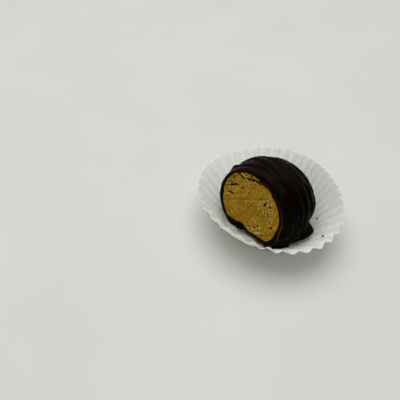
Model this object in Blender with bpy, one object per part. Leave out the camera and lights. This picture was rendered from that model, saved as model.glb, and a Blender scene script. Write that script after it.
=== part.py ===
"""A buckeye candy with one side cut away, sitting in its fluted paper case.

Three sub-parts, all in metres with +Z up and the origin at the middle of the case's
foot, on the table: the peanut butter filling, the drizzled chocolate coat round it
and the white paper case.  The cut face looks to the front left.
"""
import math

import bpy
from mathutils import Vector

MM = 0.001

# ---- driving dimensions ------------------------------------------------------------
CANDY_RADIUS = 18.3 * MM          # a ball 1 1/2 inches across with its drizzle
CANDY_CENTRE = Vector((-1.6, -3.75, 11.2)) * MM
FILLING_RADIUS = 15.65 * MM
FILLING_FORWARD = 1.0 * MM        # the filling sits off centre: towards the cut,
FILLING_SHIFT = 1.8 * MM          # to the cut's left
FILLING_LIFT = 0.6 * MM           # and up
FILLING_FOOT = 3.4 * MM           # height of the filling's flat underside

CUT_FACING = math.radians(-135.7)  # compass direction the cut face looks to, from +X
CUT_LEAN = math.radians(9.0)      # the face leans back by this much
CUT_DISTANCE = 8.0 * MM           # from the candy's centre to the cut

CASE_FOOT_RADIUS = 15.9 * MM      # a foot 1 1/4 inches across
CASE_WALL = 19.6 * MM             # a 3/4 inch wall and its crease, up the slope
CASE_PAPER = 0.3 * MM
CASE_FLUTES = 38
FLUTE_FLAT = 0.08                 # share of a flute that its flat tip takes
FLUTE_CROWD = 0.2                 # how much wider or closer the flutes get
FLUTE_WIDE_SIDE = math.radians(218.0)
FLUTE_START = math.radians(4.7)
CREASE_LENGTH = 2.0 * MM          # paper that bends up from the foot into the wall

# Angle of the wall above the table: a mean, then cosine and sine parts of the first
# three turns round the case, as the candy's weight splays some sides more.
FLARE_MEAN = math.radians(50.4)
FLARE_TURNS = [
    (math.radians(1.6), math.radians(-2.6)),
    (math.radians(5.5), math.radians(6.6)),
    (math.radians(0.8), math.radians(1.4)),
]

CLEARANCE = 0.3 * MM              # between neighbouring pieces
FLUTE_CLEARANCE = 0.45 * MM       # added where the candy leans on the flutes' tips

# ---- the coat's relief: compass direction, height angle, spread, height, steepness ----
COAT_SWELLS = [
    (-88.0, -6.0, 36.0, -3.4 * MM, 2),   # flattened front, right of the cut
    (140.0, 26.0, 38.0, 0.6 * MM, 2),    # fuller shoulder at the back left
    (-22.0, -2.0, 9.0, -1.6 * MM, 2),    # tuck above the drip
    (-33.0, -19.0, 12.5, 3.4 * MM, 4),   # drip of chocolate that set at the foot
]
# A lump of chocolate stands under the filling at the cut.
LUMP_SIDEWAYS = 3.8 * MM          # along the cut, to its left
LUMP_HEIGHT = 2.0 * MM
LUMP_SPREAD = 2.0 * MM

# ---- drizzle strands: place along the cut's axis, half width, height, slant, turn ---
STRANDS = [
    (6.3, 2.3, 0.60, 1.9, 20.0),
    (3.2, 1.1, 0.50, 0.4, 90.0),
    (-1.1, 1.7, 0.75, 2.9, 150.0),
    (-5.0, 1.0, 0.60, 4.6, 160.0),
    (-5.5, 1.5, 0.70, 1.2, 20.0),
    (-7.0, 1.5, 0.80, 5.6, 172.0),
    (-9.8, 1.6, 0.75, 1.5, 20.0),
    (-13.0, 1.5, 0.65, 0.5, 70.0),
]
STRAND_FADE_LOW = math.radians(-30.0)   # height angles between which they fade out
STRAND_FADE_HIGH = math.radians(5.0)

# ---- mesh fineness -------------------------------------------------------------------
CANDY_SEGMENTS = 68
COAT_RINGS = 40
FILLING_RINGS = 14
WALL_ROWS = 6
ROW_SPREAD = 1.5                  # the wall's rows stand closer near the foot
RADIUS_PASSES = 6                 # the relief depends on where the point ends up
HALVINGS = 30
SHARP_ANGLE = math.radians(50.0)
FOLD_ANGLE = math.radians(20.0)

# ---- materials: colour and roughness ------------------------------------------------
PEANUT_BUTTER = ((0.25, 0.15, 0.025), 0.85)
DARK_CHOCOLATE = ((0.012, 0.006, 0.004), 0.35)
WHITE_PAPER = ((0.72, 0.74, 0.70), 0.7)

# ---- axes of the cut: out of the face, across it to its left, and up it -------------
CUT_AXIS = Vector((
    math.cos(CUT_FACING) * math.cos(CUT_LEAN),
    math.sin(CUT_FACING) * math.cos(CUT_LEAN),
    math.sin(CUT_LEAN),
))
CUT_SIDE = CUT_AXIS.cross(Vector((0.0, 0.0, 1.0))).normalized()
CUT_UP = CUT_SIDE.cross(CUT_AXIS)


def smoothstep(low, high, value):
    share = min(max((value - low) / (high - low), 0.0), 1.0)
    return share * share * (3.0 - 2.0 * share)


# ---- the paper case's surface -------------------------------------------------------
def flare(turn):
    """Angle of the case's wall above the table at a compass direction."""
    angle = FLARE_MEAN
    for order, (cosine, sine) in enumerate(FLARE_TURNS, start=1):
        angle += cosine * math.cos(order * turn) + sine * math.sin(order * turn)
    return angle


def wall_line(turn, along):
    """Radius, height and slope of the wall's middle line, a distance up the paper."""
    slope = flare(turn)
    if along < CREASE_LENGTH:
        if along <= 0.0:
            return CASE_FOOT_RADIUS, 0.0, 0.0
        bend = slope * along / CREASE_LENGTH
        curve = along / bend
        return CASE_FOOT_RADIUS + curve * math.sin(bend), curve * (1.0 - math.cos(bend)), bend
    curve = CREASE_LENGTH / slope
    rest = along - CREASE_LENGTH
    radius = CASE_FOOT_RADIUS + curve * math.sin(slope) + rest * math.cos(slope)
    height = curve * (1.0 - math.cos(slope)) + rest * math.sin(slope)
    return radius, height, slope


def flute_depth(turn, along):
    """Depth of the flutes: flat paper is too long for the narrower circle it stands on."""
    radius = wall_line(turn, along)[0]
    width = 1.0 + FLUTE_CROWD * math.cos(turn - FLUTE_WIDE_SIDE)
    half_paper = math.pi * (CASE_FOOT_RADIUS + along) / CASE_FLUTES
    half_width = math.pi * (CASE_FOOT_RADIUS + (radius - CASE_FOOT_RADIUS) * width) / CASE_FLUTES
    return math.sqrt(max(half_paper ** 2 - half_width ** 2, 0.0))


def clear_of_case(point):
    """True where a point lies inside the case and free of its paper."""
    if point.z < CASE_PAPER + CLEARANCE:
        return False
    turn = math.atan2(point.y, point.x)
    slope = flare(turn)
    out = math.hypot(point.x, point.y) - CASE_FOOT_RADIUS
    along = out * math.cos(slope) + point.z * math.sin(slope)
    away = point.z * math.cos(slope) - out * math.sin(slope)
    if along <= 0.0:
        return True
    depth = flute_depth(turn, min(along, CASE_WALL))
    return away > depth / 2.0 + CASE_PAPER + FLUTE_CLEARANCE


# ---- the candy's surfaces -----------------------------------------------------------
def swells(direction):
    """Sum of the coat's soft bumps, each round its own direction."""
    total = 0.0
    for compass, rise, spread, height, steepness in COAT_SWELLS:
        level = math.cos(math.radians(rise))
        middle = Vector((
            level * math.cos(math.radians(compass)),
            level * math.sin(math.radians(compass)),
            math.sin(math.radians(rise)),
        ))
        angle = math.degrees(direction.angle(middle))
        total += height * math.exp(-(angle / spread) ** steepness)
    return total


def drizzle(direction, along_axis, turn):
    """Height of the drizzled strands, which cross the top and fade out lower down."""
    rise = math.asin(min(max(direction.z, -1.0), 1.0))
    fade = smoothstep(STRAND_FADE_LOW, STRAND_FADE_HIGH, rise)
    highest = 0.0
    for place, half_width, height, slant, start in STRANDS:
        middle = place * MM + slant * MM * math.cos(turn - math.radians(start))
        offset = (along_axis - middle) / (half_width * MM)
        if abs(offset) < 1.0:
            highest = max(highest, height * MM * math.sqrt(1.0 - offset * offset))
    return highest * fade


def coat_radius(direction, along_axis, turn):
    """Distance from the candy's centre to the outside of the chocolate."""
    return CANDY_RADIUS + swells(direction) + drizzle(direction, along_axis, turn)


def filling_radius(direction, along_axis, turn):
    """Distance from the filling's centre to its surface: a plain ball."""
    return FILLING_RADIUS


def cavity_radius(direction, along_axis, turn):
    """Distance from the filling's centre to the inside of the chocolate."""
    return FILLING_RADIUS + CLEARANCE


def filling_foot(point, spread):
    """Height of the filling's underside, raised over the lump at the cut."""
    lump = CANDY_CENTRE + CUT_AXIS * CUT_DISTANCE + CUT_SIDE * LUMP_SIDEWAYS
    away = math.hypot(point.x - lump.x, point.y - lump.y)
    return FILLING_FOOT + LUMP_HEIGHT * math.exp(-(away / spread) ** 2)


def filling_is_clear(point):
    return point.z >= filling_foot(point, LUMP_SPREAD + CLEARANCE)


def cavity_is_clear(point):
    return point.z >= filling_foot(point, LUMP_SPREAD) - CLEARANCE


def ring_point(centre, along_axis, turn, radius_at, is_clear):
    """A point on a ring that lies across the cut's axis.

    It stands on the ball that radius_at describes, or nearer the ring's middle where
    is_clear says that the ball would meet the case, the foot or the lump.
    """
    spoke = CUT_SIDE * math.cos(turn) + CUT_UP * math.sin(turn)
    middle = centre + CUT_AXIS * along_axis
    reach = math.sqrt(max(CANDY_RADIUS ** 2 - along_axis ** 2, 0.0))
    for _ in range(RADIUS_PASSES):
        direction = (CUT_AXIS * along_axis + spoke * reach).normalized()
        radius = radius_at(direction, along_axis, turn)
        reach = math.sqrt(max(radius ** 2 - along_axis ** 2, 0.0))
    if is_clear(middle + spoke * reach):
        return middle + spoke * reach
    low, high = 0.0, reach
    for _ in range(HALVINGS):
        half = (low + high) / 2.0
        if is_clear(middle + spoke * half):
            low = half
        else:
            high = half
    return middle + spoke * low


def ring_places(back, front, count):
    """Places of the rings along the cut's axis, by even steps of angle from the back."""
    last = math.acos(-front / back)
    return [-back * math.cos(last * index / count) for index in range(1, count + 1)]


def ball_points(centre, radius_at, is_clear, back, rings, segments):
    """The back pole and then every ring's points, the last ring on the cut."""
    pole_radius = radius_at(-CUT_AXIS, -back, 0.0)
    points = [centre - CUT_AXIS * pole_radius]
    front = CUT_DISTANCE - (centre - CANDY_CENTRE).dot(CUT_AXIS)
    for along_axis in ring_places(back, front, rings):
        for step in range(segments):
            turn = 2.0 * math.pi * step / segments
            points.append(ring_point(centre, along_axis, turn, radius_at, is_clear))
    return points


def ball_faces(start, rings, segments):
    """Faces of one open ball, looking outward; the pole's index is start."""
    faces = []
    for step in range(segments):
        after = (step + 1) % segments
        faces.append((start, start + 1 + step, start + 1 + after))
        for ring in range(rings - 1):
            near = start + 1 + ring * segments
            far = near + segments
            faces.append((near + step, far + step, far + after, near + after))
    return faces


def make_object(name, points, faces, finish, sharp_angle):
    """One named solid with its own material, smooth except at edges past the angle."""
    colour, roughness = finish
    mesh = bpy.data.meshes.new(name)
    mesh.from_pydata([tuple(point) for point in points], [], faces)
    mesh.validate()
    mesh.shade_smooth()
    mesh.set_sharp_from_angle(angle=sharp_angle)
    material = bpy.data.materials.new(name)
    material.use_nodes = True
    shader = material.node_tree.nodes["Principled BSDF"]
    shader.inputs["Base Color"].default_value = (*colour, 1.0)
    shader.inputs["Roughness"].default_value = roughness
    shader.inputs["Metallic"].default_value = 0.0
    mesh.materials.append(material)
    item = bpy.data.objects.new(name, mesh)
    bpy.context.collection.objects.link(item)
    return item


# ---- sub-parts ----------------------------------------------------------------------
FILLING_CENTRE = (CANDY_CENTRE + CUT_AXIS * FILLING_FORWARD + CUT_SIDE * FILLING_SHIFT
                  + CUT_UP * FILLING_LIFT)


def make_filling():
    points = ball_points(FILLING_CENTRE, filling_radius, filling_is_clear,
                         FILLING_RADIUS, FILLING_RINGS, CANDY_SEGMENTS)
    faces = ball_faces(0, FILLING_RINGS, CANDY_SEGMENTS)
    last = len(points) - CANDY_SEGMENTS
    faces.append(tuple(reversed(range(last, len(points)))))
    return make_object("filling", points, faces, PEANUT_BUTTER, SHARP_ANGLE)


def make_coat():
    points = ball_points(CANDY_CENTRE, coat_radius, clear_of_case,
                         CANDY_RADIUS, COAT_RINGS, CANDY_SEGMENTS)
    faces = ball_faces(0, COAT_RINGS, CANDY_SEGMENTS)
    inner_start = len(points)
    points += ball_points(FILLING_CENTRE, cavity_radius, cavity_is_clear,
                          FILLING_RADIUS + CLEARANCE, FILLING_RINGS, CANDY_SEGMENTS)
    inner_faces = ball_faces(inner_start, FILLING_RINGS, CANDY_SEGMENTS)
    faces += [tuple(reversed(face)) for face in inner_faces]
    outer_edge = inner_start - CANDY_SEGMENTS
    inner_edge = len(points) - CANDY_SEGMENTS
    for step in range(CANDY_SEGMENTS):
        after = (step + 1) % CANDY_SEGMENTS
        faces.append((outer_edge + step, inner_edge + step, inner_edge + after, outer_edge + after))
    return make_object("chocolate_coat", points, faces, DARK_CHOCOLATE, SHARP_ANGLE)


def flute_columns():
    """Compass direction and side (+1 out, -1 in) of every fold line round the case."""
    columns = []
    for flute in range(CASE_FLUTES):
        for place, side in ((-FLUTE_FLAT, 1), (FLUTE_FLAT, 1),
                            (0.5 - FLUTE_FLAT, -1), (0.5 + FLUTE_FLAT, -1)):
            even = FLUTE_START + 2.0 * math.pi * (flute + place) / CASE_FLUTES
            turn = even + FLUTE_CROWD * math.sin(even - FLUTE_WIDE_SIDE)
            columns.append((turn, side))
    return columns


def case_point(turn, side, along, face):
    """A point on the fluted paper; face is +1 for its outside and -1 for its inside."""
    radius, height, slope = wall_line(turn, along)
    out = side * flute_depth(turn, along) / 2.0 + face * CASE_PAPER / 2.0
    radius += out * math.sin(slope)
    height += CASE_PAPER / 2.0 - out * math.cos(slope)
    return Vector((radius * math.cos(turn), radius * math.sin(turn), height))


def make_case():
    columns = flute_columns()
    count = len(columns)
    points = []
    faces = []
    for face in (1, -1):
        start = len(points)
        points.append(Vector((0.0, 0.0, CASE_PAPER * (1 - face) / 2.0)))
        for row in range(WALL_ROWS + 1):
            along = CASE_WALL * (row / WALL_ROWS) ** ROW_SPREAD
            points += [case_point(turn, side, along, face) for turn, side in columns]
        for step in range(count):
            after = (step + 1) % count
            cells = [(start, start + 1 + after, start + 1 + step)]
            for row in range(WALL_ROWS):
                low = start + 1 + row * count
                high = low + count
                cells.append((low + step, low + after, high + after, high + step))
            faces += cells if face == 1 else [tuple(reversed(cell)) for cell in cells]
    outer_rim = 1 + WALL_ROWS * count
    inner_rim = outer_rim + 1 + (WALL_ROWS + 1) * count
    for step in range(count):
        after = (step + 1) % count
        faces.append((outer_rim + step, outer_rim + after, inner_rim + after, inner_rim + step))
    return make_object("paper_case", points, faces, WHITE_PAPER, FOLD_ANGLE)


def clear_scene():
    for item in list(bpy.data.objects):
        bpy.data.objects.remove(item, do_unlink=True)


clear_scene()
make_filling()
make_coat()
make_case()
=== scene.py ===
"""Finishes of a cut buckeye candy in its fluted paper case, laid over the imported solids.

Everything is in metres, in the solids' own frame: +Z up, the origin at the middle of the
case's foot.  A value followed by * MM is written in millimetres.
"""

import math

import bpy
import numpy as np
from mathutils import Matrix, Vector, noise


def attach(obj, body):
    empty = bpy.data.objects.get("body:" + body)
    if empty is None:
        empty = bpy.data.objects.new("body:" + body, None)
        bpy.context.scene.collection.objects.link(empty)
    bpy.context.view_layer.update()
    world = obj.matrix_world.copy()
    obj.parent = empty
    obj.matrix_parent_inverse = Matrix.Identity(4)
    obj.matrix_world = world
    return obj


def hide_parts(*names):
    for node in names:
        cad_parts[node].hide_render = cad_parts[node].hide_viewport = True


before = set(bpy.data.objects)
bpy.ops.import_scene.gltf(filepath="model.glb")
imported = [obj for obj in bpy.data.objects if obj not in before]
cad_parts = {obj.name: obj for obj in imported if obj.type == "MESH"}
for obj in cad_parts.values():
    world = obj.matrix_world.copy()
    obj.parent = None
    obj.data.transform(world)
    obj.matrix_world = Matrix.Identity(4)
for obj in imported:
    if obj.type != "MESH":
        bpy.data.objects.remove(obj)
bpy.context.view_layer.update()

MM = 0.001

# ---- driving dimensions, as the solids have them ------------------------------------
CANDY_RADIUS = 18.3 * MM
CANDY_CENTRE = np.array((-1.6, -3.75, 11.2)) * MM
FILLING_RADIUS = 15.65 * MM
FILLING_FORWARD = 1.0 * MM
FILLING_SHIFT = 1.8 * MM
FILLING_LIFT = 0.6 * MM
FILLING_FOOT = 3.4 * MM
CUT_FACING = math.radians(-135.7)
CUT_LEAN = math.radians(9.0)
CUT_DISTANCE = 8.0 * MM
CASE_FOOT_RADIUS = 15.9 * MM
CASE_WALL = 19.6 * MM
CASE_PAPER = 0.3 * MM
CASE_FLUTES = 38
FLUTE_FLAT = 0.08
FLUTE_CROWD = 0.2
FLUTE_WIDE_SIDE = math.radians(218.0)
FLUTE_START = math.radians(4.7)
CREASE_LENGTH = 2.0 * MM
FLARE_MEAN = math.radians(50.4)
FLARE_TURNS = [
    (math.radians(1.6), math.radians(-2.6)),
    (math.radians(5.5), math.radians(6.6)),
    (math.radians(0.8), math.radians(1.4)),
]
CLEARANCE = 0.3 * MM
FLUTE_CLEARANCE = 0.15 * MM       # less than the solids keep

# Soft bumps: compass direction, height angle, spread in degrees, height, steepness.
COAT_SWELLS = [
    (-88.0, -6.0, 36.0, -3.4 * MM, 2),
    (140.0, 26.0, 38.0, 0.6 * MM, 2),
    (-22.0, -2.0, 9.0, -1.6 * MM, 2),
    (-33.0, -19.0, 12.5, 3.4 * MM, 4),
]
# Smaller bumps that only the finish has.
SMALL_SWELLS = [
    (152.0, 30.0, 13.0, 0.2 * MM, 2),
    (139.0, 34.5, 5.5, 0.65 * MM, 2),
    (132.5, 38.5, 3.5, -0.65 * MM, 2),
    (100.0, 58.0, 12.0, 0.3 * MM, 2),
    (-58.0, -30.0, 13.0, 1.6 * MM, 2),
    (-78.0, -12.0, 12.0, 1.1 * MM, 2),
]
LUMP_SIDEWAYS = 3.8 * MM
LUMP_HEIGHT = 2.0 * MM
LUMP_SPREAD = 2.0 * MM

# Strands: place along the cut's axis, half width, height, slant (mm), turn (degrees).
STRANDS = [
    (6.3, 2.3, 0.60, 1.9, 20.0),
    (3.2, 1.1, 0.50, 0.4, 90.0),
    (-1.1, 1.7, 0.75, 2.9, 150.0),
    (-5.0, 1.0, 0.60, 4.6, 160.0),
    (-5.5, 1.5, 0.70, 1.2, 20.0),
    (-7.0, 1.5, 0.80, 5.6, 172.0),
    (-9.8, 1.6, 0.75, 1.5, 20.0),
    (-13.0, 1.5, 0.65, 0.5, 70.0),
]
STRAND_FADE_LOW = math.radians(-30.0)
STRAND_FADE_HIGH = math.radians(5.0)
STRAND_STEEPNESS = 2.6            # at 2 a strand is round, above it flatter on top
# Waves along a strand: height (mm for the wander, a share of the width for the swell),
# how many go round the candy, and their shift from strand to strand.
STRAND_WANDER = [(0.30, 3.0, 1.0), (0.16, 7.0, 2.0)]
STRAND_SWELL = [(0.16, 4.0, 3.0), (0.07, 11.0, 0.0)]
GROOVE_DEPTH = 0.5 * MM           # where a strand sank into the one it crosses
GROOVE_WIDTH = 0.32 * MM
THINNEST_COAT = 0.15 * MM
DEEPEST_DIP = 0.4                 # mm, of the coat's own uneven surface
# Strand tops that face this way, up and to the left, get a painted highlight.
HIGHLIGHT_FACING = np.array((-0.3, 0.1, 0.95))
# The coat's foot curls up towards the cut.  Each border has the two ends of its soft
# edge, from the middle of the cut: along its axis, and across it to the right and left.
FOOT_CURL = 1.8 * MM
CURL_BACK = (-9.0 * MM, 0.0)
CURL_RIGHT = (-12.0 * MM, -7.0 * MM)
CURL_LEFT = (3.0 * MM, 9.0 * MM)

# ---- what only the finishes have ----------------------------------------------------
SEGMENTS = 480                    # points round the candy
COAT_ROWS = 150
CAVITY_ROWS = 14
BAND_ROWS = 24                    # across the coat's broken edge
FACE_ROWS = 112                   # from the filling's edge to the middle of its face
RADIUS_PASSES = 6
HALVINGS = 24

# Pits in the filling's face: across to the left and up from its middle, half length,
# half width, depth (mm), and the angle of the length (degrees).
PITS = [
    (11.6, 6.6, 2.3, 0.42, 1.0, -32.0),
    (12.6, 5.8, 0.9, 0.55, 1.0, -10.0),
    (14.3, 6.1, 0.5, 0.30, 0.6, 0.0),
    (14.5, 4.7, 0.5, 0.30, 0.6, 20.0),
    (12.5, 7.3, 0.7, 0.25, 0.5, -30.0),
    (9.1, 7.2, 0.8, 0.25, 0.5, 0.0),
    (11.9, 2.4, 1.6, 0.42, 0.9, -13.0),
    (7.9, 7.8, 0.3, 0.30, 0.6, 0.0),
    (7.1, 7.5, 0.8, 0.28, 0.6, -41.0),
    (3.9, 7.2, 0.35, 0.35, 0.6, 0.0),
    (2.8, 10.1, 0.35, 0.30, 0.45, 0.0),
    (3.2, 3.0, 0.3, 0.40, 0.6, 0.0),
    (2.7, 2.6, 0.7, 0.20, 0.5, 39.0),
    (-0.1, 8.5, 0.3, 0.25, 0.4, 0.0),
    (-4.1, 6.8, 1.0, 0.50, 1.1, -60.0),
    (-4.5, 8.0, 0.35, 0.30, 0.6, 0.0),
    (-6.3, 6.9, 0.5, 0.40, 0.9, 20.0),
    (-6.2, 3.6, 0.4, 0.45, 0.8, 60.0),
    (-5.1, 3.3, 0.4, 0.25, 0.6, -20.0),
    (-6.9, 2.4, 0.3, 0.20, 0.5, 50.0),
    (-7.4, 0.7, 0.35, 0.20, 0.5, 50.0),
    (-4.6, -1.3, 0.3, 0.20, 0.4, 0.0),
    (-2.1, 0.5, 0.25, 0.25, 0.45, 0.0),
    (0.4, -7.1, 0.55, 0.40, 0.8, 0.0),
    (-2.2, -5.9, 0.6, 0.55, 1.0, 0.0),
    (-3.4, -4.6, 0.8, 0.36, 0.9, 50.0),
    (-6.2, -4.2, 0.6, 0.30, 0.7, 30.0),
    (-8.9, -1.6, 0.40, 0.65, 1.0, 70.0),
    (8.7, 12.3, 1.3, 0.40, 0.5, 28.0),
    (5.1, 12.9, 1.4, 0.45, 0.5, -9.0),
    (3.0, 13.6, 1.1, 0.45, 0.5, -31.0),
    (1.0, 14.1, 1.2, 0.50, 0.5, 5.0),
]
# Parts of the face that tore instead of cutting clean: across, up, radius (mm), share.
TORN = [
    (-5.2, 5.5, 4.4, 1.0),
    (-3.5, -5.3, 4.4, 0.9),
    (11.8, 6.0, 3.4, 0.7),
    (12.0, 2.2, 2.4, 0.6),
    (4.0, 13.2, 4.5, 0.6),
    (2.6, 2.3, 1.6, 0.7),
    (-8.5, -1.5, 3.0, 0.7),
]
# Lines the knife dragged over the face: both ends, across and up, depth and half
# width (mm).  Below nought the line stands up.
KNIFE_LINES = [
    (15.4, -3.3, -6.2, 10.9, 0.18, 0.32),
    (13.6, -3.1, -6.6, 10.0, -0.04, 0.24),
    (-2.6, -10.1, -11.0, -3.3, 0.18, 0.22),
    (-2.3, -8.9, -6.2, -6.0, -0.22, 0.20),
    (13.0, -5.5, -9.0, 9.0, 0.05, 0.25),
    (9.0, -8.0, -10.5, 5.0, 0.05, 0.25),
    (9.4, -2.6, 6.6, -4.8, 0.08, 0.20),
]
# Flakes of chocolate the knife drew over the filling: across, up, length, width (mm)
# and angle (degrees).
FLAKES = [
    (8.7, 12.3, 2.5, 0.50, 28.0),
    (7.2, 12.0, 1.0, 0.40, -30.0),
    (5.1, 12.9, 2.5, 0.60, -9.0),
    (3.0, 13.6, 2.0, 0.75, -31.0),
    (1.2, 14.1, 2.3, 1.00, 5.0),
    (-0.7, 14.3, 2.3, 1.10, -20.0),
    (-2.3, 14.2, 1.7, 1.10, -10.0),
    (6.6, 13.9, 0.9, 0.45, 10.0),
    (4.4, 14.3, 0.8, 0.40, -20.0),
    (9.4, 13.7, 0.8, 0.40, 40.0),
    (11.2, 11.2, 0.7, 0.35, 0.0),
]
FLAKE_TINT = -1.0                 # browner than the coat, being thin
FLAKE_SIDES = 14
FLAKE_RAGGED = 0.4
# Rings of a flake: height off the face (mm), and width as a share.
FLAKE_RINGS = [(0.14, 0.75), (0.02, 1.0), (-0.25, 0.8)]

# The filling's cut face, in mm except where it says a share.
SMOOTH_FACE = 0.12                # a share: how torn the smoothest part is
PIT_BEND = 0.3
PIT_RAGGED = 0.45                 # a share of the pit's size
RIM_OUT = 0.35
RIM_WIDTH = 0.22                  # a share of the pit's size
KNIFE_WOBBLE = 0.15
BROAD_HEIGHT = 0.10
FINE_HEIGHT = 0.05
CRUMBLY_HEIGHT = 0.28
CRUMB_HEIGHT = 0.34
RIM_HEIGHT = 0.18
PORE_DEPTH = 0.5
# Painted shade in pores, pits and knife grooves; painted highlight on crumbs, rims, raised lines
# and crumbly high spots.
PORE_SHADE, PIT_SHADE, GROOVE_SHADE = 0.9, 1.6, 1.8
CRUMB_HIGHLIGHT, RIM_HIGHLIGHT, RAISED_LINE_HIGHLIGHT, CRUMBLY_HIGHLIGHT = 1.1, 0.5, 3.0, 0.7
EDGE_ROUND = 0.965                # the face drops off outside this share of its radius
EDGE_DROP = 0.25
EDGE_OVERLAP = 0.6                # of the filling, in under the coat's lip
# Raggedness of the mouth all round, and more at the top: fine and broad (mm).
MOUTH_RAGGED, MOUTH_WAVY = 0.09, 0.07
TOP_RAGGED, TOP_WAVY = 0.15, 0.1
TOP_TURN, TOP_SPREAD = 100.0, 30.0
# How far (mm) the filling's edge shows past the mouth of the coat, by the turn (degrees)
# round the cut; below nought the coat laps over the filling.
EDGE_REACH = [
    (0.0, -0.6), (10.0, -0.1), (22.0, 0.2), (35.0, 0.4), (46.0, 0.65), (62.0, 0.75),
    (72.0, 0.7), (84.0, 0.5), (93.0, 0.15), (106.0, 0.0), (116.0, -0.15), (126.0, -0.6),
    (151.0, -0.6), (166.0, -0.65), (176.0, -0.8), (192.0, -1.0), (205.0, -0.5),
    (217.0, -0.3), (228.0, -0.6), (243.0, -0.3), (258.0, 0.1), (270.0, 0.1),
    (285.0, -0.1), (292.0, -0.4), (302.0, -1.0), (316.0, -0.9), (332.0, -0.6),
    (345.0, -0.5),
]
# Chocolate smeared over the filling's edge: middle and spread of the turn (degrees), and
# how far in it reaches, as a share of the face.
EDGE_SMEAR_TURN = 68.0
EDGE_SMEAR_SPREAD = 48.0
EDGE_SMEAR_DEPTH = 0.16

# The coat's broken edge, in mm: its roughness, how far it stands proud, and the lip.
BREAK_ROUGH = 0.14
BREAK_PROUD = 0.10
BREAK_LEVEL = 0.04
LIP_THICK = 0.12
LIP_BACK = 0.25
# The lump of chocolate under the filling: across and up, half sizes, and bulge (mm).
LUMP_SPOT = (4.3, -9.7)
LUMP_HALF = (2.1, 2.0)
LUMP_BULGE = 1.5
# A thin burr that the knife raised on the coat: turn round the cut (degrees), distance
# from the middle of the cut (mm) and strength.  Outside it the chocolate is unbroken.
# The burr is also painted pale, as a painted highlight.
BURR = [
    (60.0, 16.4, 0.0), (100.0, 15.6, 0.05), (118.0, 14.6, 0.35), (136.0, 14.3, 0.4),
    (159.5, 13.6, 0.7), (172.0, 13.7, 1.0), (188.0, 13.5, 1.0), (193.0, 13.9, 1.0),
    (200.0, 14.4, 0.9), (207.0, 14.6, 0.0),
]
BURR_HALF_WIDTH = 0.2
BURR_HEIGHT = 0.22

# ---- axes of the cut: out of the face, across it to its left, and up it -------------
CUT_AXIS = np.array((
    math.cos(CUT_FACING) * math.cos(CUT_LEAN),
    math.sin(CUT_FACING) * math.cos(CUT_LEAN),
    math.sin(CUT_LEAN),
))
CUT_SIDE = np.cross(CUT_AXIS, (0.0, 0.0, 1.0))
CUT_SIDE /= np.linalg.norm(CUT_SIDE)
CUT_UP = np.cross(CUT_SIDE, CUT_AXIS)
CUT_MIDDLE = CANDY_CENTRE + CUT_AXIS * CUT_DISTANCE
FILLING_CENTRE = (CANDY_CENTRE + CUT_AXIS * FILLING_FORWARD + CUT_SIDE * FILLING_SHIFT
                  + CUT_UP * FILLING_LIFT)


def smoothstep(low, high, value):
    share = np.clip((value - low) / (high - low), 0.0, 1.0)
    return share * share * (3.0 - 2.0 * share)


def unit(vectors):
    return vectors / np.linalg.norm(vectors, axis=-1, keepdims=True)


def turns_round(count):
    """The turn (radians) of each point of a ring."""
    return 2.0 * math.pi * np.arange(count) / count


def waves(table, turn, number):
    """Sum of the waves that a table gives along a numbered strand."""
    return sum(height * np.sin(count * turn + shift * number) for height, count, shift in table)


def sample(field, places):
    """A function of one Vector, read at every place of an array, as an array."""
    flat = places.reshape(-1, 3)
    values = [field(Vector(place)) for place in flat.tolist()]
    return np.array(values).reshape(places.shape[:-1])


def uneven(places, size, octaves=3, seed=0.0):
    """Soft noise from about -1 to 1, with bumps of about a size."""
    def field(place):
        return noise.fractal(place / size + Vector((seed, seed, seed)), 1.0, 2.1, octaves)
    return sample(field, places)


# ---- the case's surface, for keeping the candy clear of it --------------------------
def flare(turn):
    angle = np.full_like(turn, FLARE_MEAN)
    for order, (cosine, sine) in enumerate(FLARE_TURNS, start=1):
        angle += cosine * np.cos(order * turn) + sine * np.sin(order * turn)
    return angle


def wall_radius(turn, along):
    slope = flare(turn)
    bend = slope * np.clip(along / CREASE_LENGTH, 0.0, 1.0)
    rest = np.maximum(along - CREASE_LENGTH, 0.0)
    return CASE_FOOT_RADIUS + CREASE_LENGTH / slope * np.sin(bend) + rest * np.cos(slope)


def flute_depth(turn, along):
    width = 1.0 + FLUTE_CROWD * np.cos(turn - FLUTE_WIDE_SIDE)
    spread = (wall_radius(turn, along) - CASE_FOOT_RADIUS) * width
    half_paper = math.pi * (CASE_FOOT_RADIUS + along) / CASE_FLUTES
    half_width = math.pi * (CASE_FOOT_RADIUS + spread) / CASE_FLUTES
    return np.sqrt(np.maximum(half_paper ** 2 - half_width ** 2, 0.0))


def clear_of_case(points):
    """True where a point lies inside the case and free of its paper."""
    turn = np.arctan2(points[..., 1], points[..., 0])
    slope = flare(turn)
    out = np.hypot(points[..., 0], points[..., 1]) - CASE_FOOT_RADIUS
    along = out * np.cos(slope) + points[..., 2] * np.sin(slope)
    away = points[..., 2] * np.cos(slope) - out * np.sin(slope)
    depth = flute_depth(turn, np.clip(along, 0.0, CASE_WALL))
    beside = (along <= 0.0) | (away > depth / 2.0 + CASE_PAPER + FLUTE_CLEARANCE)
    return beside & (points[..., 2] >= CASE_PAPER + CLEARANCE)


# ---- the candy's surfaces -----------------------------------------------------------
def swells(direction):
    total = np.zeros(direction.shape[:-1])
    for compass, rise, spread, height, steepness in COAT_SWELLS + SMALL_SWELLS:
        level = math.cos(math.radians(rise))
        middle = np.array((
            level * math.cos(math.radians(compass)),
            level * math.sin(math.radians(compass)),
            math.sin(math.radians(rise)),
        ))
        angle = np.degrees(np.arccos(np.clip(direction @ middle, -1.0, 1.0)))
        total += height * np.exp(-(angle / spread) ** steepness)
    return total


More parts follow.
